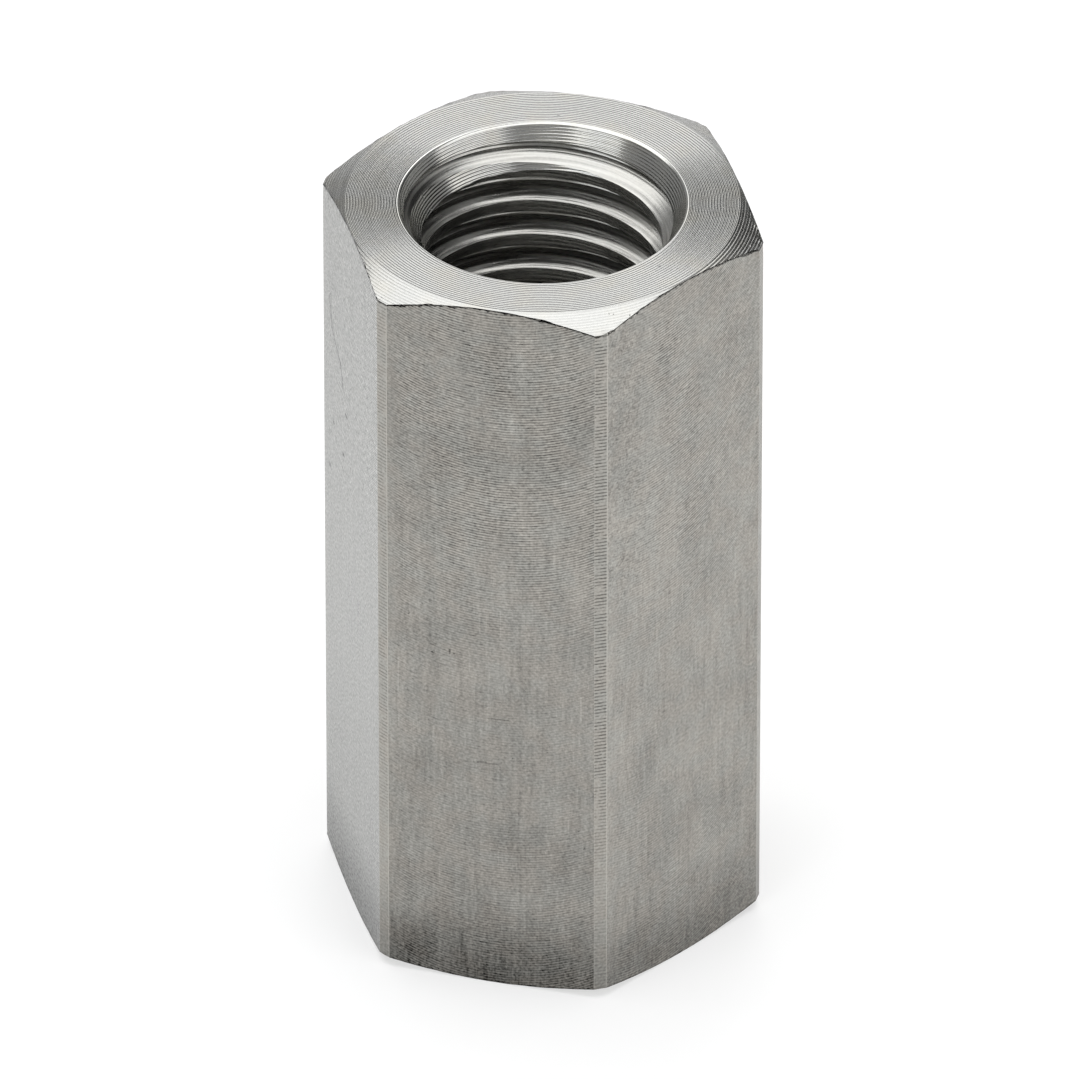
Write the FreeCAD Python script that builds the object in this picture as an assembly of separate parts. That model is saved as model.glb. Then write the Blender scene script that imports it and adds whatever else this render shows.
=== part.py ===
import FreeCAD, Part
import math
import os

# Coupling nut: one solid, turned from round bar, drilled and countersunk, then milled to a hexagon.
# Millimetres. The bottom face lies on Z = 0 with its centre at the origin, and the thread runs along Z.
# One wrench flat faces -Y, so two of the corners lie on the X axis.

# Driving dimensions of the outside
across_flats = 17.0
length = 35.0
bar_diameter = 19.3  # the round bar left standing as a narrow land on each corner
top_face_diameter = 16.9
bottom_face_diameter = 16.9
top_chamfer_angle = 25.0  # degrees between the cone and the end face
bottom_chamfer_angle = 20.0

# Driving dimensions of the M12 thread and its hole
thread_diameter = 12.0
thread_pitch = 1.75
countersink_rim = 0.15  # how far the mouth stands outside the thread, on the radius
countersink_angle = 60.0  # degrees, across the whole cone

# Derived sizes
FLAT_COUNT = 6
tapping_diameter = thread_diameter - thread_pitch
mouth_diameter = thread_diameter + 2 * countersink_rim


def chamfer_height(face_diameter, angle):
    """Height of the cone from an end face out to the bar's surface."""
    return (bar_diameter - face_diameter) / 2 * math.tan(math.radians(angle))


def countersink_depth():
    """Depth of the entry cone from its mouth down to the tapping hole."""
    return (mouth_diameter - tapping_diameter) / 2 / math.tan(math.radians(countersink_angle / 2))


def turned_blank():
    """Revolve the lathe's half section: chamfered outside, hole with a countersink at each end."""
    top_z = length - chamfer_height(top_face_diameter, top_chamfer_angle)
    bottom_z = chamfer_height(bottom_face_diameter, bottom_chamfer_angle)
    sink = countersink_depth()
    section = [
        (tapping_diameter / 2, sink),
        (mouth_diameter / 2, 0.0),
        (bottom_face_diameter / 2, 0.0),
        (bar_diameter / 2, bottom_z),
        (bar_diameter / 2, top_z),
        (top_face_diameter / 2, length),
        (mouth_diameter / 2, length),
        (tapping_diameter / 2, length - sink),
    ]
    corners = [FreeCAD.Vector(radius, 0, z) for radius, z in section]
    outline = Part.makePolygon(corners + corners[:1])
    axis_start = FreeCAD.Vector(0, 0, 0)
    axis_direction = FreeCAD.Vector(0, 0, 1)
    return Part.Face(outline).revolve(axis_start, axis_direction, 360)


def hexagon_bar():
    """Hexagonal prism that the six milled flats leave, one flat square to -Y."""
    corner_radius = across_flats / 2 / math.cos(math.pi / FLAT_COUNT)
    corners = []
    for i in range(FLAT_COUNT + 1):
        angle = 2 * math.pi * i / FLAT_COUNT
        corners.append(FreeCAD.Vector(corner_radius * math.cos(angle), corner_radius * math.sin(angle), 0))
    return Part.Face(Part.makePolygon(corners)).extrude(FreeCAD.Vector(0, 0, length))


def coupling_nut():
    """The flats meet the cones in arcs, and leave a land of the bar on each corner."""
    return turned_blank().common(hexagon_bar())


def main():
    os.makedirs("parts", exist_ok=True)
    nut = coupling_nut()
    nut.exportStep("parts/coupling_nut.step")
    box = nut.BoundBox
    print("solids", len(nut.Solids), "valid", nut.isValid(), "volume mm3", round(nut.Volume, 2))
    print("box mm", round(box.XLength, 3), round(box.YLength, 3), round(box.ZLength, 3))
    print("tapping hole", tapping_diameter, "mouth", mouth_diameter, "sink depth", round(countersink_depth(), 3))


main()
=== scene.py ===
# %% [markdown]
# A coupling nut is a long hexagon nut that joins two threaded rods end to end. This one is cut from
# stainless bar: the ends are turned flat and cone-edged, the six flats are milled, and the bore is
# drilled, countersunk at both mouths and tapped right through.
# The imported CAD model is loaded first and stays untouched, so every size below starts from it.

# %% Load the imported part
import math

import bmesh
import bpy
import numpy as np
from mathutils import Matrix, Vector


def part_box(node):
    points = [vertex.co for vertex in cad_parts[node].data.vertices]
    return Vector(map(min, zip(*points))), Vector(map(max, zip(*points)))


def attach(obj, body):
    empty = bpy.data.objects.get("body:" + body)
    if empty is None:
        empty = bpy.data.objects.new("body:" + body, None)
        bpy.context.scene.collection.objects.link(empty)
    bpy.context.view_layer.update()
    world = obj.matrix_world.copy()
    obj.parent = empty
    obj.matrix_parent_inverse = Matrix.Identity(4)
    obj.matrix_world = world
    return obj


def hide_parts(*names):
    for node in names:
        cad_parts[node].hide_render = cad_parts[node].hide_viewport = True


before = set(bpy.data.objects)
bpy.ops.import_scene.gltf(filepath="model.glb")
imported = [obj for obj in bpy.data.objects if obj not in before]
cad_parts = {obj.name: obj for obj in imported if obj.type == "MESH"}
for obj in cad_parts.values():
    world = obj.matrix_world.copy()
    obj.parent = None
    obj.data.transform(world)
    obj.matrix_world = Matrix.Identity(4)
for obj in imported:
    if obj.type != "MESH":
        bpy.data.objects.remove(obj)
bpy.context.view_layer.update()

# %% [markdown]
# The nut's box gives three of its sizes. The others are the same named values as in the CAD source:
# the turned end faces, the cone angles, and an M12 coarse thread.
# All lengths are worked in millimetres here and turned to metres when a mesh is made.

# %% Sizes of the nut
MM = 0.001
low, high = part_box("coupling_nut")
length = round((high[2] - low[2]) / MM, 3)
across_flats = round((high[1] - low[1]) / MM, 3)
bar_radius = round((high[0] - low[0]) / MM / 2, 3)
face_radius = 8.45
top_slope = math.tan(math.radians(25))
bottom_slope = math.tan(math.radians(20))
pitch = 1.75
crest_radius = 5.125
root_radius = 6.0
mouth_radius = 6.15
cone_slope = math.tan(math.radians(30))
print(f"nut {length} long, {across_flats} across flats, bar {2 * bar_radius} mm")

# %% [markdown]
# The nut is drawn as columns that stand round its axis. A flat is straight and a corner is a narrow
# arc of the old bar surface, so the columns are bunched to start and end exactly on the edge between
# the two. That keeps the edges crisp with no bevel or boolean.

# %% Columns round the axis
FLAT_COLUMNS = 56
LAND_COLUMNS = 6
half_flat = across_flats / 2
flat_reach = math.acos(half_flat / bar_radius)
half_width = half_flat * math.tan(flat_reach)


def column_angles():
    """Angles of one sixth, measured from a flat's middle: first even steps along the flat, whose
    angle is atan(distance / half across flats), then even angles over the corner. Six sixths follow
    each other, each turned by 60 degrees, the first flat facing the front at -90 degrees."""
    along = np.linspace(-half_width, half_width, FLAT_COLUMNS, endpoint=False)
    flat = np.arctan(along / half_flat)
    land = np.linspace(flat_reach, math.pi / 3 - flat_reach, LAND_COLUMNS, endpoint=False)
    sixth = np.concatenate([flat, land])
    turns = np.arange(6)[:, None] * math.pi / 3 - math.pi / 2
    return (turns + sixth).ravel(), np.tile(sixth, 6)


theta, local = column_angles()
COLUMNS = theta.size
on_flat = local < flat_reach - 1e-9
outline = np.where(local <= flat_reach, half_flat / np.cos(local), bar_radius)
print(f"{COLUMNS} columns, flats {2 * half_width:.2f} mm wide, corners "
      f"{2 * bar_radius * math.sin(math.pi / 6 - flat_reach):.2f} mm wide")

# %% [markdown]
# Where the cone tool leaves a milled flat it pushes up a ragged little burr. It is real metal, a few
# hundredths of a millimetre high, so it is modelled: smooth random numbers round the nut lift and
# lower the edge.

# %% Ragged numbers round the nut
dice = np.random.default_rng(12)


def ragged(width):
    """Random numbers round the nut, each the average of its neighbours over this many columns,
    scaled so that the largest is 1."""
    raw = dice.normal(size=COLUMNS)
    kernel = np.hanning(width + 2)[1:-1]
    padded = np.concatenate([raw[-width:], raw, raw[:width]])
    smooth = np.convolve(padded, kernel, mode="same")[width:-width]
    return smooth / np.abs(smooth).max()


# %% [markdown]
# The outside is a stack of rings of points: mouth edge, turned end face, cone, burr, wall, and the
# same again in reverse at the bottom. Each ring says how far out and how high its points are, and
# the cone's end is where it meets the outline, which is what makes the curved arc on every flat.
# The burr is full at the top and smaller at the foot, where the photograph shows a cleaner edge.

# %% The rings of the outside
EDGE_BREAK = 0.065
MOUTH_RINGS = [(0.045, 0.006), (0.08, 0.0)]
FACE_START = 0.45
CONE_SHARES = (0.2, 0.4, 0.6)
TOP_BURR, FOOT_BURR = 1.0, 0.4
LEAST_CURL, MOST_CURL = 0.015, 0.10
# Each ring under the arc: how deep it is bitten in, how far below it lies, how much the lift moves it
BURR_RINGS = [(0.0, 0.0, 0.032), (0.0, 0.045, 0.018), (0.034, 0.09, 0.0), (0.014, 0.3, 0.0),
              (0.0, 0.8, 0.0)]


def end_rings(slope, burr):
    """Rings from the mouth out to the burr, for one end, as radius, depth below the end and finish.
    On the cone the depth is (radius - face radius) times the slope. The cone's last ring is the
    outline less the burr's curl, and the rings under it follow the list, each scaled by burr."""
    rings = [(mouth_radius - EDGE_BREAK * cone_slope, EDGE_BREAK, "countersink")]
    rings += [(mouth_radius + past, depth, "countersink") for past, depth in MOUTH_RINGS]
    rings += [(r, 0.0, "end face") for r in np.linspace(mouth_radius + FACE_START, face_radius, 6)]
    for share in CONE_SHARES:
        r = face_radius + share * (outline - face_radius)
        rings.append((r, (r - face_radius) * slope, "chamfer"))
    edge = (outline - face_radius) * slope
    lift = burr * (0.6 * ragged(3) + 0.4 * ragged(7))
    bite = burr * (0.5 + 0.5 * ragged(5))
    curl = LEAST_CURL + MOST_CURL * burr * np.clip(ragged(4), 0, 1) ** 1.5
    inside = np.maximum(outline - curl, face_radius + 0.8 * (outline - face_radius))
    rings.append((inside, (inside - face_radius) * slope, "chamfer"))
    for bitten, below, moved in BURR_RINGS:
        rings.append((outline - bitten * bite, edge + below + moved * lift, "wall"))
    return rings


def outside_rings():
    """Radius and height of every ring from the top mouth to the bottom mouth."""
    top = [(r, length - d, name) for r, d, name in end_rings(top_slope, TOP_BURR)]
    foot = [(r, d, name) for r, d, name in end_rings(bottom_slope, FOOT_BURR)][::-1]
    walls = [(outline, z, "wall") for z in np.linspace(length - 3, 3, 9)]
    rings = top + walls + foot
    radius = np.stack([np.broadcast_to(r, COLUMNS) for r, _, _ in rings])
    height = np.stack([np.broadcast_to(z, COLUMNS) for _, z, _ in rings])
    lower = [name for _, _, name in top[1:] + walls + foot[:1]]
    upper = [name for _, _, name in foot[:-1]]
    return radius, height, lower + upper


outer_radius, outer_height, strips = outside_rings()
print(f"{len(outer_radius)} rings outside")

# %% [markdown]
# A tapped bore is one groove that winds up the hole. If its rows of points are level, the groove has
# to cut across them, so here the rows wind with it: row i climbs by one pitch in a turn and meets
# row i + 8 of the same thread. The countersinks then only have to be the larger of two radii.

# %% The thread's profile
CREST_FLAT = 0.29
flank = (root_radius - crest_radius) * cone_slope / pitch
profile_phase = np.array([0, CREST_FLAT / 2, CREST_FLAT / 2 + flank / 2, CREST_FLAT / 2 + flank, 0.5])
profile_phase = np.concatenate([profile_phase, 1 - profile_phase[-2:0:-1]])
profile_depth = np.array([0, 0, 0.5, 0.98, 1.03, 0.98, 0.5, 0])
ROWS_PER_TURN = profile_phase.size
CREST_ANGLE = math.radians(104.9)     # where the photograph shows the first whole crest
CREST_HEIGHT = 31.40
TURNS = np.arange(-19, 4)
print(f"{ROWS_PER_TURN} rows per turn, flank {flank * pitch:.3f} mm high")


def cones(z):
    """Radius of the two countersinks at a height: mouth radius less the depth times the slope."""
    return mouth_radius - np.minimum(length - z, z) * cone_slope


def bore_rows():
    """Rows of the threaded bore. Height is start + pitch * turn, radius the larger of thread and
    countersink. A countersink point next to the line where the two meet is slid along the cone onto
    that line, at the share gap / (gap - next gap) of the step between the rows. The row along the
    middle of the crest slides too, because the crest is straight from edge to edge. The crests
    waver by about a hundredth of a millimetre."""
    climb = (theta - CREST_ANGLE) / (2 * math.pi)
    start = (TURNS[:, None] + profile_phase).ravel() * pitch + CREST_HEIGHT
    depth = np.tile(profile_depth, TURNS.size)
    thread = np.repeat((crest_radius + (root_radius - crest_radius) * depth)[:, None], COLUMNS, 1)
    waver = 0.010 * np.sin(7 * theta + 1) + 0.006 * np.sin(23 * theta)
    thread += (depth == 0)[:, None] * np.abs(waver)
    z = start[:, None] + pitch * climb
    gap = cones(z) - thread
    meets = gap[:-1] * gap[1:] < 0
    share = gap[:-1] / np.where(meets, gap[:-1] - gap[1:], 1)
    line = z[:-1] + share * (z[1:] - z[:-1])
    slid = np.zeros(z.shape, bool)
    middle = np.tile(profile_phase == 0, TURNS.size)[:, None]
    lower = meets & ((gap[:-1] > 0) & ~middle[1:] | middle[:-1])
    upper = meets & ((gap[1:] > 0) & ~middle[:-1] | middle[1:])
    z[:-1][lower], slid[:-1][lower] = line[lower], True
    z[1:][upper], slid[1:][upper] = line[upper], True
    z = np.clip(z, EDGE_BREAK, length - EDGE_BREAK)
    return np.maximum(thread, cones(z)), z, slid, (gap > 0) | slid


bore_radius, bore_height, slid, on_cone = bore_rows()
print(f"{len(bore_radius)} rows in the bore")

# %% [markdown]
# Both sheets of points become one closed mesh. Numpy writes the faces as whole arrays: four
# neighbours make a face, and in the bore each face is cut along the diagonal that follows the line
# between countersink and thread. Every face also gets the number of its finish.

# %% Faces from the two sheets
FINISHES = ["milled flat", "corner land", "chamfer", "end face", "countersink", "thread"]


def points(radius, height):
    """Points of a sheet in metres: x = radius cos angle, y = radius sin angle, z = height."""
    place = np.stack([radius * np.cos(theta), radius * np.sin(theta), height], axis=-1)
    return place.reshape(-1, 3) * MM


def outside_faces():
    """Each ring point with its right and lower neighbours, as quads seen from outside."""
    number = np.arange(outer_radius.size).reshape(outer_radius.shape)
    right = np.roll(number, -1, axis=1)
    quads = np.stack([number[1:], right[1:], right[:-1], number[:-1]], axis=-1)
    kinds = np.array([FINISHES.index(s) if s != "wall" else 0 for s in strips])
    kinds = np.repeat(kinds[:, None], COLUMNS, axis=1)
    kinds[(kinds == 0) & ~on_flat] = 1
    return quads.reshape(-1, 4), kinds.ravel()


def bore_faces(first):
    """Each bore point with its right and upper neighbours, as two triangles seen from the axis.
    The last column's right neighbour is the first column, one turn further up the thread."""
    number = np.arange(bore_radius.size).reshape(bore_radius.shape) + first
    rows = number.shape[0] - ROWS_PER_TURN - 1

    def neighbours(grid):
        next_turn = grid[ROWS_PER_TURN:rows + 1 + ROWS_PER_TURN, :1]
        right = np.concatenate([grid[:rows + 1, 1:], next_turn], axis=1)
        return grid[:rows], right[:rows], right[1:rows + 1], grid[1:rows + 1]

    a, b, c, d = neighbours(number)
    _, slid_b, _, slid_d = neighbours(slid)
    other = (slid_b & slid_d)[..., None]
    one = np.where(other, np.stack([a, d, b], -1), np.stack([a, c, b], -1))
    two = np.where(other, np.stack([b, d, c], -1), np.stack([a, d, c], -1))
    cone = np.stack(neighbours(on_cone), -1).all(axis=-1)
    kind = np.where(cone, FINISHES.index("countersink"), FINISHES.index("thread")).ravel()
    return np.concatenate([one.reshape(-1, 3), two.reshape(-1, 3)]), np.concatenate([kind, kind])


# %% The nut's mesh


def nut_mesh():
    """One closed mesh: the two sheets share their mouth circles, whose doubled points are merged,
    and faces that the merging flattened to nothing are dropped."""
    outside, kinds = outside_faces()
    bore, bore_kinds = bore_faces(outer_radius.size)
    place = np.concatenate([points(outer_radius, outer_height), points(bore_radius, bore_height)])
    mesh = bpy.data.meshes.new("threaded_nut")
    mesh.from_pydata(place, [], outside.tolist() + bore.tolist())
    mesh.polygons.foreach_set("material_index", np.concatenate([kinds, bore_kinds]).astype(np.int32))
    body = bmesh.new()
    body.from_mesh(mesh)
    bmesh.ops.remove_doubles(body, verts=body.verts, dist=1e-6)
    bmesh.ops.dissolve_degenerate(body, edges=body.edges, dist=1e-7)
    loose = [v for v in body.verts if not v.link_faces]
    bmesh.ops.delete(body, geom=loose, context="VERTS")
    open_edges = sum(len(e.link_faces) != 2 for e in body.edges)
    volume = body.calc_volume(signed=True) / MM ** 3
    body.to_mesh(mesh)
    body.free()
    mesh.shade_smooth()
    mesh.set_sharp_from_angle(angle=math.radians(15))
    mesh.calc_loop_triangles()
    print(f"{len(mesh.loop_triangles)} triangles, {open_edges} open edges, {volume:.1f} mm3")
    return mesh


nut = bpy.data.objects.new("threaded_nut", nut_mesh())
bpy.context.collection.objects.link(nut)

# %% [markdown]
# Finishes are written as sums. A wire stands for one socket of the node tree, and adding or
# multiplying wires adds the Math nodes, so a groove can be written the way a machinist would say it.

# %% Wires for shader sums


class Wire:
    """One output socket of a material's node tree."""

    def __init__(self, tree, socket):
        self.tree = tree
        self.socket = socket

    def node(self, kind, settings=None, inputs=None, output=0):
        """Add a node of this kind: its settings first, then its sockets' values or links."""
        made = self.tree.nodes.new("ShaderNode" + kind)
        for name, value in (settings or {}).items():
            setattr(made, name, value)
        for name, value in (inputs or {}).items():
            if isinstance(value, Wire):
                self.tree.links.new(value.socket, made.inputs[name])
            else:
                made.inputs[name].default_value = value
        return Wire(self.tree, made.outputs[output])

    def math(self, operation, *values):
        return self.node("Math", {"operation": operation}, dict(enumerate(values)))

    def __add__(self, other):
        return self.math("ADD", self, other)

    def __radd__(self, other):
        return self.math("ADD", other, self)

    def __sub__(self, other):
        return self.math("SUBTRACT", self, other)

    def __rsub__(self, other):
        return self.math("SUBTRACT", other, self)

    def __mul__(self, other):
        return self.math("MULTIPLY", self, other)

    def __rmul__(self, other):
        return self.math("MULTIPLY", other, self)

    def ramp(self, start, end):
        """0 at start and 1 at end, easing in and out."""
        return self.node("MapRange", {"interpolation_type": "SMOOTHSTEP"},
                         {"Value": self, "From Min": start, "From Max": end})

    def join(self, y, z):
        return self.node("CombineXYZ", None, {0: self, 1: y, 2: z})

    def noise(self, scale, detail=2.0, distortion=0.0):
        """Smooth noise over this vector, between about 0.25 and 0.75, its middle at 0.5."""
        return self.node("TexNoise", None, {"Vector": self, "Scale": scale, "Detail": detail,
                                            "Distortion": distortion})

    def tint(self, one, other):
        """A colour between two, by this wire's value."""
        return self.node("Mix", {"data_type": "RGBA"}, {0: self, 6: one, 7: other}, output=2)

    def shade(self, factor):
        """This colour times a value."""
        return self.node("VectorMath", {"operation": "SCALE"}, {0: self, "Scale": factor})


# %% [markdown]
# Every finish is the same steel with other marks: a colour that drifts a little between warm and
# cool, a roughness, and a relief in millimetres from its cutter. The places of the marks are
# worked out from the axis: radius and angle for turned parts, distance across and height for flats.

# %% The shared steel
WARM = (0.383, 0.365, 0.333, 1)
COOL = (0.371, 0.364, 0.338, 1)
NEUTRAL = (0.365, 0.366, 0.355, 1)


class Steel:
    """A steel finish being built: its material, its tree and the usual measures of a point."""

    def __init__(self, name):
        self.material = bpy.data.materials.new(name)
        self.material.use_nodes = True
        self.tree = self.material.node_tree
        self.shader = self.tree.nodes["Principled BSDF"]
        start = Wire(self.tree, None)
        place = start.node("TexCoord", output="Object")
        self.place = place.node("VectorMath", {"operation": "SCALE"}, {0: place, "Scale": 1 / MM})
        self.x, self.y, self.z = [
            place.node("SeparateXYZ", None, {0: self.place}, output=k) for k in range(3)]
        self.angle = self.y.math("ARCTAN2", self.y, self.x)
        self.radius = self.x.math("SQRT", self.x * self.x + self.y * self.y)

    def painted_burr_shadow(self, along):
        """1 in the thin ragged painted shadow under the burr at either end, 0 elsewhere. The depth
        below the edge is the depth below the end less (radius - face radius) times the cone's slope."""
        out = self.radius - face_radius
        width = along.join(0.0, self.z * 0.02).noise(4.0, 2.0).ramp(0.35, 0.75) * 0.15 + 0.05
        top = length - self.z - out * top_slope
        foot = self.z - out * bottom_slope
        return (1.0 - top.ramp(width * 0.55, width)) * 0.68 + (1.0 - foot.ramp(0.02, 0.09)) * 0.2

    def finish(self, colour, roughness, relief):
        """Link what varies: colour, roughness and the relief's bump."""
        bump = relief.node("Bump", None, {"Height": relief, "Distance": MM, "Strength": 1.0},
                           output="Normal")
        self.tree.links.new(colour.socket, self.shader.inputs["Base Color"])
        self.tree.links.new(roughness.socket, self.shader.inputs["Roughness"])
        self.tree.links.new(bump.socket, self.shader.inputs["Normal"])
        self.shader.inputs["Metallic"].default_value = 1.0
        nut.data.materials.append(self.material)
        print(f"finish {self.material.name}: {len(self.tree.nodes)} nodes")


def wave(distance, step):
    """A groove's cross-section: the sine of distance over one step."""
    return distance.math("SINE", distance * (2 * math.pi / step))


# %% [markdown]
# The flats are milled. The cutter leaves shallow arcs, one every 0.13 mm, that sag like a smile
# because its teeth sweep on a circle of 8.7 mm. The arcs break up into dashes, and handling then
# rubs vertical streaks over them, most of all at mid-height.
# Flats are numbered by their angle in sixths of a turn. The clearest single marks of the photograph
# are listed one by one: the flat, then both ends as distance across and height in millimetres, then
# half the width, and how much darker the mark is, or brighter if it is below 0.

# %% Milled flats
CUTTER_RADIUS = 8.7
CUTTER_STEP = 0.13
FRONT, LEFT = -2.0, -3.0
LEFT_SQUEEZE = 0.35
LEAN = 2.5
ONE_FLAT = (1.95, 2.08)
MARKS = [
    (LEFT, (-3.54, 29.45), (-3.10, 27.94), 0.06, 0.36),
    (LEFT, (-3.10, 27.94), (-1.70, 27.00), 0.06, 0.46),
    (LEFT, (-1.70, 27.00), (-1.24, 25.96), 0.06, 0.40),
    (LEFT, (-0.77, 24.96), (-0.77, 24.94), 0.10, 0.80),
    (LEFT, (-2.96, 23.20), (-2.96, 23.18), 0.09, 0.55),
    (LEFT, (-1.27, 22.63), (-1.27, 22.61), 0.10, 0.80),
    (LEFT, (-3.65, 20.60), (-3.65, 20.50), 0.09, 0.55),
    (FRONT, (-1.83, 17.13), (-1.83, 16.95), 0.06, 0.45),
    (FRONT, (-1.64, 16.98), (-1.64, 16.97), 0.06, 0.45),
    (FRONT, (-2.61, 16.91), (-2.61, 16.90), 0.06, 0.35),
    (FRONT, (-3.65, 18.70), (-3.60, 18.76), 0.05, 0.40),
    (FRONT, (-0.76, 11.47), (0.26, 11.53), 0.05, 0.22),
    (FRONT, (-0.13, 13.86), (0.75, 13.92), 0.05, 0.22),
    (FRONT, (3.99, 15.69), (3.99, 14.43), 0.05, -0.20),
    (FRONT, (-4.11, 16.30), (-4.12, 14.54), 0.05, -0.14),
]


def segment(place, one, other, width):
    """1 near the line between two points, 0 farther off than width: the nearest point lies at the
    share (place - one) . span / span . span of the span, kept between 0 and 1."""
    span = other - one
    off = place.node("VectorMath", {"operation": "SUBTRACT"}, {0: place, 1: one})
    along = off.node("VectorMath", {"operation": "DOT_PRODUCT"}, {0: off, 1: span}, output="Value")
    share = along.node("Math", {"operation": "DIVIDE", "use_clamp": True},
                       {0: along, 1: span.length_squared})
    near = share.node("VectorMath", {"operation": "SCALE"}, {0: span, "Scale": share})
    gap = off.node("VectorMath", {"operation": "DISTANCE"}, {0: off, 1: near}, output="Value")
    return 1.0 - gap.ramp(width * 0.4, width)


def single_marks(across, height, number):
    """Single scratches and pits: dark ones above 0 and bright ones below. The left flat is seen
    almost edge on, so its marks are measured on a squeezed width, which makes them wide."""
    wander = height.join(0.0, 0.0).noise(3.0, 1.0) * 0.24 - 0.12
    total = 0.0
    for face, one, other, width, dark in MARKS:
        squeeze = LEFT_SQUEEZE if face == LEFT else 1.0
        bend = wander if face == LEFT and one[1] - other[1] > 0.5 else 0.0
        place = (across * squeeze + bend).join(height, number * 10.0)
        ends = [Vector((a * squeeze, z, face * 10.0)) for a, z in (one, other)]
        total = total + segment(place, *ends, width) * dark
    return total


def cutter_marks(steel, number, across, lean, sheet):
    """The groove's running height, its arcs, the dashes they break into and the pushed-up strokes.
    An arc's height is the flat's height plus sqrt(cutter radius^2 - (across - lean)^2)."""
    aside = across - lean
    sag = across.math("SQRT", CUTTER_RADIUS ** 2 - aside * aside)
    groove = steel.z + sag + sheet.noise(0.9, 1.0) * 0.05
    arcs = wave(groove, CUTTER_STEP)
    dashes = (across * 2.6 + number * 31.0).join(groove * (0.9 / CUTTER_STEP), 0.0).noise(1.0) - 0.5
    stroke = (across * 1.3 + number * 7.0).join(groove * (1.7 / CUTTER_STEP), 3.0).noise(1.0, 1.0)
    return groove, arcs, dashes, stroke.ramp(0.58, 0.74)


def milled_flats():
    """Number counts the flats, across = radius * sin(angle from the flat's middle), and lean shifts
    the arcs to one side, differently on each flat. The brightness, called level, is a sum of all
    marks and of painted light and shade: a painted brightness for each flat by its lean, a lighter
    left flat, painted shade towards the top and the foot, and the burr's painted shadow. Every
    noise reads another part of its field on every flat. Only the left flat leans by more than the
    values of ONE_FLAT, and only the right one by as much the other way."""
    steel = Steel("steel_milled_flat")
    height = steel.z
    number = steel.x.math("ROUND", (steel.angle - math.pi / 6) * (3 / math.pi))
    turned = steel.angle - number * (math.pi / 3) - math.pi / 6
    across = steel.radius * turned.math("SINE", turned)
    sheet = (across + number * 31.0).join(height, 0.0)
    lean = (number + 2.0).math("SINE", number + 2.0) * -LEAN
    left = lean.ramp(*ONE_FLAT)
    right = (0.0 - lean).ramp(*ONE_FLAT)

    # Where the cutter's arcs have stayed clear: near both ends, in patches
    patch = (across * 0.5 + number * 17.0).join(height * 0.3, 4.0).noise(1.0).ramp(0.30, 0.62)
    clear = height.ramp(15.0, 25.0) * 0.65 + height.ramp(11.0, 5.0) * 0.24 + 0.15
    clear = clear * (patch * 0.7 + 0.5)
    groove, arcs, dashes, stroke = cutter_marks(steel, number, across, lean, sheet)
    stroke = stroke * (1.2 - patch * 0.6)

    # Upright streaks, bands and thin bright scratches from handling
    streak = (across * 4.2 + number * 41.0).join(height * 0.4, 0.0).noise(1.0, 3.0) - 0.5
    streak = streak * (1.1 - patch * 0.5 - height.ramp(19.0, 29.0) * 0.5)
    band = (across * 1.3 + number * 19.0).join(height * 0.12, 5.0).noise(1.0) - 0.5
    scratch = (across * 11.0 + number * 5.0).join(height * 0.5, 9.0).noise(1.0, 1.0)
    scratch = scratch.ramp(0.64, 0.74) * (1.0 - height.ramp(20.0, 27.0))

    # Grain, slow drift, pits, the burr's painted shadow, and the edge that is rubbed smooth
    grain = sheet.noise(8.0) - 0.5
    drift = sheet.noise(0.35, 3.0) - 0.5
    pit = (across * 4.5 + number * 11.0).join(groove * 7.0, 7.0).noise(1.0, 1.0).ramp(0.72, 0.80)
    # Painted shadow: a dark ragged line under the burr at the top and a fainter one at the foot
    burr = steel.painted_burr_shadow(across + number * 13.0)
    rubbed = across.ramp(0.9 - half_width, 0.1 - half_width)

    # The right flat's finely crinkled patch, next to the corner
    smear = across.ramp(-1.0, -3.4) * right * height.ramp(17.0, 23.0)
    curls = (sheet.noise(2.9, 3.0, 2.0) - 0.5) * smear

    cut = (arcs * 0.30 + dashes) * clear
    cut = cut * (1.0 - rubbed * 0.7) * (1.0 - smear * 0.7) * (left * 0.8 + 1.0)
    # Painted shade: darker towards the foot, most of all on the left flat. Below, each flat gets a
    # painted brightness by its lean, and painted shade towards the top
    foot = (1.0 - height.ramp(0.0, 5.0)) * (0.40 - lean * lean * 0.025 + left * 0.22)
    foot = foot + (1.0 - height.ramp(4.0, 16.0)) * 0.06
    level = 0.77 + (lean + 0.25) * (lean + 0.25) * 0.029 - height.ramp(22.0, 34.0) * 0.05
    level = level + cut + streak * 0.55 + band * 0.16 + rubbed * 0.05 + curls
    level = level + grain * (left + 0.85) + drift * 0.42 + scratch * 0.12
    level = level - stroke * 0.16 - pit * 0.30 - burr - foot - single_marks(across, height, number)
    # Painted light: the left flat is made neutral in colour and a little lighter, as the cool light
    # from the left shows it
    colour = left.tint(sheet.noise(0.8, 3.0).ramp(0.38, 0.62).tint(WARM, COOL), NEUTRAL)
    colour = colour.shade(level + left * 0.07)
    relief = (arcs * 0.0022 + dashes * 0.016) * clear + streak * 0.015 + grain * 0.008
    relief = relief - stroke * 0.007 - pit * 0.01 + curls * 0.06
    steel.finish(colour, 0.33 + drift * 0.2 + streak * 0.3, relief)


milled_flats()

# %% [markdown]
# Each corner keeps a narrow strip of the turned bar. Its rings are coarser, 0.17 mm apart, and they
# show as dark dashes, fainter on the corner between the left and front flats. A painted highlight
# runs along one edge of the strip, where the edge catches the light, and a weaker one along the
# other.

# %% Corner lands
LAND_STEP = 0.17
LAND_EDGE = bar_radius * (math.pi / 6 - flat_reach)


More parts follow.
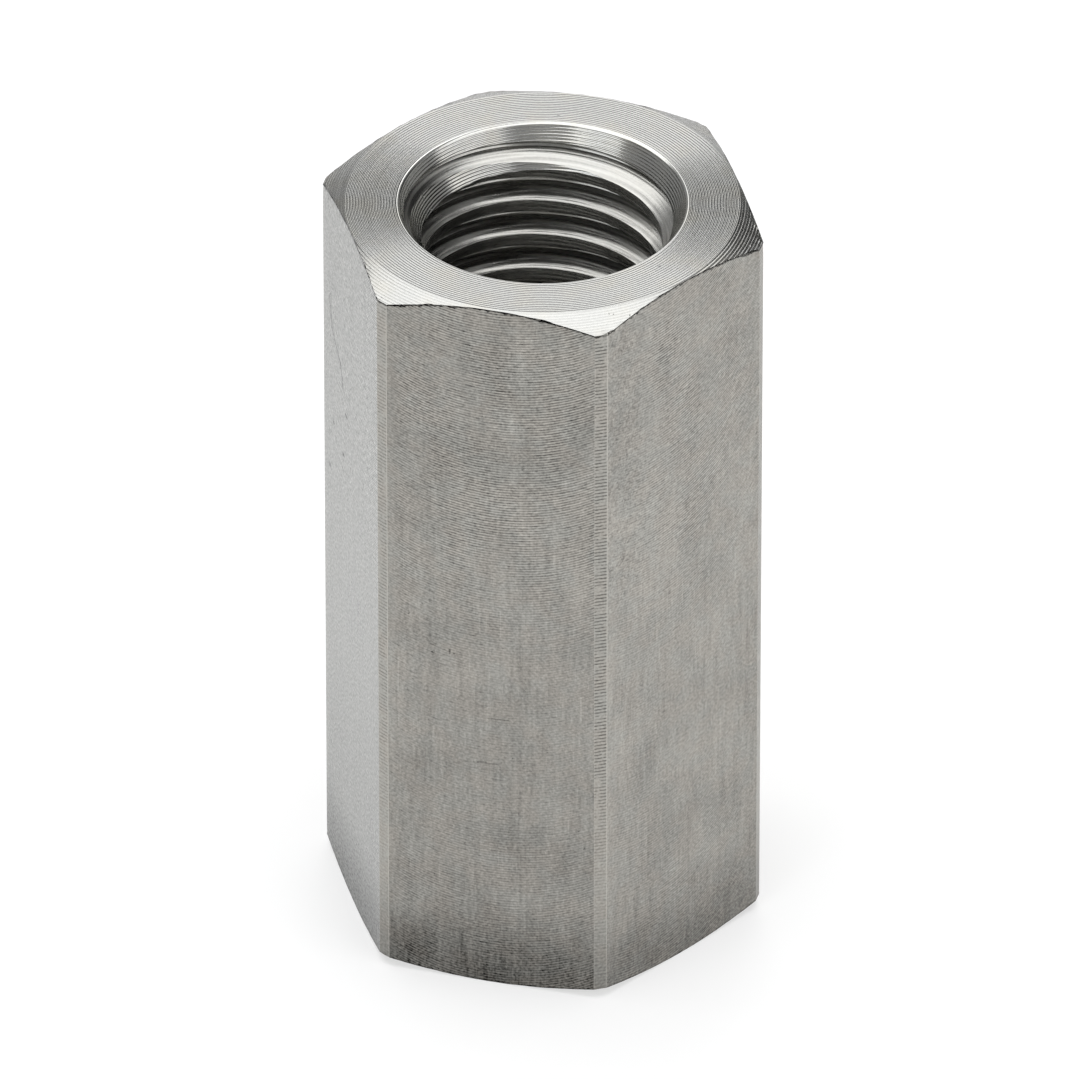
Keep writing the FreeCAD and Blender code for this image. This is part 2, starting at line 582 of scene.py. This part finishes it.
def corner_lands():
    """Number counts the corners, and across = (angle - the corner's middle) * bar radius. The corner
    at half a turn is reached from both sides, as 3 and as -3, and both become -3."""
    steel = Steel("steel_corner_land")
    number = steel.x.math("ROUND", steel.angle * (3 / math.pi))
    across = (steel.angle - number * (math.pi / 3)) * bar_radius
    number = number - number.ramp(2.4, 2.6) * 6.0
    sheet = (across + number * 23.0).join(steel.z, 0.0)
    broken = (across * 1.2 + number * 23.0).join(steel.z * 0.9, 0.0).noise(2.0)
    rings = wave(steel.z + broken * 0.05, LAND_STEP).ramp(0.0, 0.8)
    rings = rings * broken.ramp(0.30, 0.52) * (steel.z.ramp(3.0, 15.0) * 0.75 + 0.25)
    rings = rings * (number.ramp(-1.8, -1.2) * 0.4 + 0.6)
    # Painted highlight: a bright line along one edge of the strip and a weaker one along the other
    edge = across.ramp(LAND_EDGE - 0.07, LAND_EDGE - 0.01)
    edge = edge + (0.0 - across).ramp(LAND_EDGE - 0.06, LAND_EDGE) * 0.4
    grain = sheet.noise(8.0) - 0.5
    # Painted shadow under the burr, as on the flats
    burr = steel.painted_burr_shadow(across + number * 13.0)
    # Painted shade: the strip is darker towards the foot
    foot = 1.0 - steel.z.ramp(0.0, 6.0)
    level = 0.98 + grain * 0.8 - rings * 0.55 * (1.0 - edge) + edge * 0.25 - burr - foot * 0.34
    colour = sheet.noise(0.8).ramp(0.35, 0.65).tint(WARM, COOL).shade(level)
    steel.finish(colour, 0.36 + grain * 0.2, grain * 0.008 - rings * 0.005)


corner_lands()

# %% [markdown]
# The end cones, end faces and countersinks are turned on a lathe, so their grooves are rings, in
# truth one fine spiral. No two grooves are equally deep, which is what makes them sparkle in bands.

# %% Turned finishes


def turned_finish(name, along, step, depth, tone, rough, stripe):
    """A turned surface. Along picks the distance that the tool travelled, step is its feed, and
    depth the grooves' depth, both in millimetres. Tone is the brightness and stripe how much it
    differs between a groove and the ridge beside it. The grooves are one spiral: distance plus
    angle times step over a whole turn."""
    steel = Steel(name)
    travel = along(steel)
    east = steel.x.math("DIVIDE", steel.x, steel.radius)
    north = steel.y.math("DIVIDE", steel.y, steel.radius)
    uneven = (travel * (0.8 / step)).join(east * 1.2, north * 1.2).noise(1.0, 2.0) - 0.5
    spiral = travel + steel.angle * (step / (2 * math.pi))
    grooves = wave(spiral, step) * (0.95 + uneven * 0.6)
    drift = steel.place.noise(0.6, 2.0) - 0.5
    grain = steel.place.noise(9.0, 2.0) - 0.5
    nick = steel.place.noise(3.4, 1.0).ramp(0.77, 0.81)
    level = tone + grooves * stripe + uneven * 0.18 + grain * 0.2 - nick * 0.3
    colour = (drift + 0.5).ramp(0.25, 0.60).tint(COOL, NEUTRAL).shade(level)
    relief = grooves * depth + uneven * (0.6 * depth) + grain * 0.001 - nick * 0.01
    steel.finish(colour, rough + drift * 0.1, relief)


# The tones are painted light: they make the same steel lighter or darker on each turned surface for
# how brightly it shows under the lamps, brightest on the countersink and its mouth edge.
turned_finish("steel_chamfer", lambda s: s.radius,
              step=0.12, depth=0.0050, tone=1.14, rough=0.26, stripe=0.08)
turned_finish("steel_end_face", lambda s: s.radius,
              step=0.132, depth=0.0096, tone=1.00, rough=0.22, stripe=0.05)
turned_finish("steel_countersink", lambda s: s.z,
              step=0.12, depth=0.0066, tone=1.34, rough=0.17, stripe=0.05)

# %% [markdown]
# The tap leaves the thread's flanks smooth, with faint tears along the winding. Its marks follow the
# helix: height less one pitch for every turn.

# %% Thread finish


def tapped_thread():
    """Climb = height - angle * pitch / a whole turn is the same all along one groove and jumps by
    a pitch at half a turn, so the marks are read on a circle that closes after each pitch."""
    steel = Steel("steel_thread")
    climb = steel.z - steel.angle * (pitch / (2 * math.pi))
    turn = climb * (2 * math.pi / pitch)
    over, up = turn.math("COSINE", turn), turn.math("SINE", turn)
    east = steel.x.math("DIVIDE", steel.x, steel.radius)
    tears = (over * 2.2 + steel.y * 0.2).join(up * 2.2, east * 1.2).noise(1.0, 2.0) - 0.5
    scores = (over * 4.7 + steel.y * 0.1).join(up * 4.7, east * 0.7 + 5.0).noise(1.0, 1.0) - 0.5
    grain = steel.place.noise(7.0, 2.0) - 0.5
    level = 1.04 + tears * 1.2 + scores * 1.0 + grain * 0.2
    colour = steel.place.noise(0.5, 2.0).tint(COOL, NEUTRAL).shade(level)
    steel.finish(colour, 0.26 + tears * 0.4, tears * 0.025 + scores * 0.012 + grain * 0.002)


tapped_thread()

# %% Put the nut in the frame
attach(nut, "root")
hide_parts("coupling_nut")

# %% [markdown]
# Metal shows what stands round it, so the studio matters as much as the steel. A wide softbox hangs
# overhead, a tall light sheet stands behind, and a card on each side fills the flats. The room is
# plain grey, but for one dark part behind at the right, which the right-hand cone mirrors.
# The photograph's background is white without a shadow. The floor is pale, and rays from the camera
# and from gloss see it half as plain white, so it stays white and keeps a light shadow.

# %% Floor
FLOOR_SIDE = 3.0
FLOOR_DROP = 0.00002
FLOOR_WHITE = 0.5


def pale_floor():
    mesh = bpy.data.meshes.new("floor")
    side, drop = FLOOR_SIDE, -FLOOR_DROP
    corners = [(-side, -side, drop), (side, -side, drop), (side, side, drop), (-side, side, drop)]
    mesh.from_pydata(corners, [], [(0, 1, 2, 3)])
    floor = bpy.data.objects.new("floor", mesh)
    bpy.context.collection.objects.link(floor)
    material = bpy.data.materials.new("floor_pale")
    material.use_nodes = True
    shader = material.node_tree.nodes["Principled BSDF"]
    shader.inputs["Base Color"].default_value = (0.95, 0.95, 0.95, 1)
    shader.inputs["Roughness"].default_value = 0.9
    shader.inputs["Specular IOR Level"].default_value = 0.1
    start = Wire(material.node_tree, None)
    camera_ray, glossy_ray, clear_ray = [
        start.node("LightPath", output=name)
        for name in ("Is Camera Ray", "Is Glossy Ray", "Is Transmission Ray")]
    seen = (camera_ray + glossy_ray + clear_ray) * FLOOR_WHITE
    white = start.node("Emission", None, {"Color": (1, 1, 1, 1), "Strength": 1.0})
    both = start.node("MixShader", None, {0: seen, 1: Wire(start.tree, shader.outputs[0]), 2: white})
    start.tree.links.new(both.socket, start.tree.nodes["Material Output"].inputs["Surface"])
    mesh.materials.append(material)


pale_floor()

# %% Studio lights


def light_sheet(name, aim, distance, size, brightness, colour=(1, 1, 1)):
    """A rectangular lamp seen from the nut's middle in this direction, facing it. Its power is
    brightness times pi times its area, which makes its face look that bright."""
    lamp = bpy.data.lights.new(name, "AREA")
    lamp.shape = "RECTANGLE"
    lamp.size, lamp.size_y = size
    lamp.energy = math.pi * brightness * size[0] * size[1]
    lamp.color = colour
    stand = bpy.data.objects.new(name, lamp)
    bpy.context.collection.objects.link(stand)
    away = Vector(aim).normalized()
    stand.location = Vector((0, 0, length / 2 * MM)) + away * distance
    stand.rotation_euler = away.to_track_quat("Z", "Y").to_euler()


light_sheet("overhead_softbox", (-0.10, 0.12, 0.97), 0.55, (0.80, 0.84), 1.9)
light_sheet("back_sheet", (-0.20, 0.82, 0.53), 0.70, (0.28, 0.44), 1.45)
light_sheet("left_card", (-0.467, -0.808, 0.36), 0.60, (0.42, 0.50), 1.75, (0.94, 0.97, 1.0))
light_sheet("right_card", (0.902, -0.242, 0.36), 0.60, (0.66, 0.46), 1.5)

# %% The room
ROOM_LIGHT, DARK_DROP = 0.34, 0.30
DARK_SIDE = Vector((0.27, 0.84, 0.47)).normalized()
DARK_EDGE, DARK_CORE = math.cos(math.radians(24)), math.cos(math.radians(16))


def grey_room():
    """A world of one grey, less most of it near the dark side, by the cosine of the angle between
    that side and the ray's direction. The camera itself sees plain grey."""
    world = bpy.data.worlds.new("studio")
    bpy.context.scene.world = world
    world.use_nodes = True
    start = Wire(world.node_tree, None)
    toward = start.node("TexCoord", output="Generated")
    facing = toward.node("VectorMath", {"operation": "DOT_PRODUCT"}, {0: toward, 1: DARK_SIDE},
                         output="Value")
    dark = facing.ramp(DARK_EDGE, DARK_CORE) * (1.0 - start.node("LightPath", output="Is Camera Ray"))
    strength = ROOM_LIGHT - dark * DARK_DROP
    room = world.node_tree.nodes["Background"]
    room.inputs["Color"].default_value = (1, 1, 1, 1)
    world.node_tree.links.new(strength.socket, room.inputs["Strength"])


grey_room()

# %% [markdown]
# The photograph was taken with a long lens from a little to the right and 35 degrees above, so the
# flats stay almost parallel. The camera is placed by those two angles and the scale of the picture.

# %% Camera
AZIMUTH, ELEVATION = math.radians(15.1), math.radians(34.6)
DISTANCE = 1000.0
PIXELS_PER_MM = 23.238
SENSOR, PICTURE = 36.0, 1080
AIM_HEIGHT, AIM_LEFT = 17.51, 0.117
right = Vector((math.cos(AZIMUTH), math.sin(AZIMUTH), 0))
back = Vector((math.sin(AZIMUTH) * math.cos(ELEVATION), -math.cos(AZIMUTH) * math.cos(ELEVATION),
               math.sin(ELEVATION)))
target = Vector((0, 0, AIM_HEIGHT)) - AIM_LEFT * right
lens = bpy.data.cameras.new("camera")
lens.sensor_width = SENSOR
lens.lens = PIXELS_PER_MM * DISTANCE * SENSOR / PICTURE
lens.clip_start, lens.clip_end = 0.01, 20
camera = bpy.data.objects.new("camera", lens)
camera.location = (target + back * DISTANCE) * MM
camera.rotation_euler = back.to_track_quat("Z", "Y").to_euler()
bpy.context.collection.objects.link(camera)
bpy.context.scene.camera = camera
bpy.context.scene.view_settings.view_transform = "Standard"
print(f"camera {lens.lens:.0f} mm lens at {DISTANCE:.0f} mm")
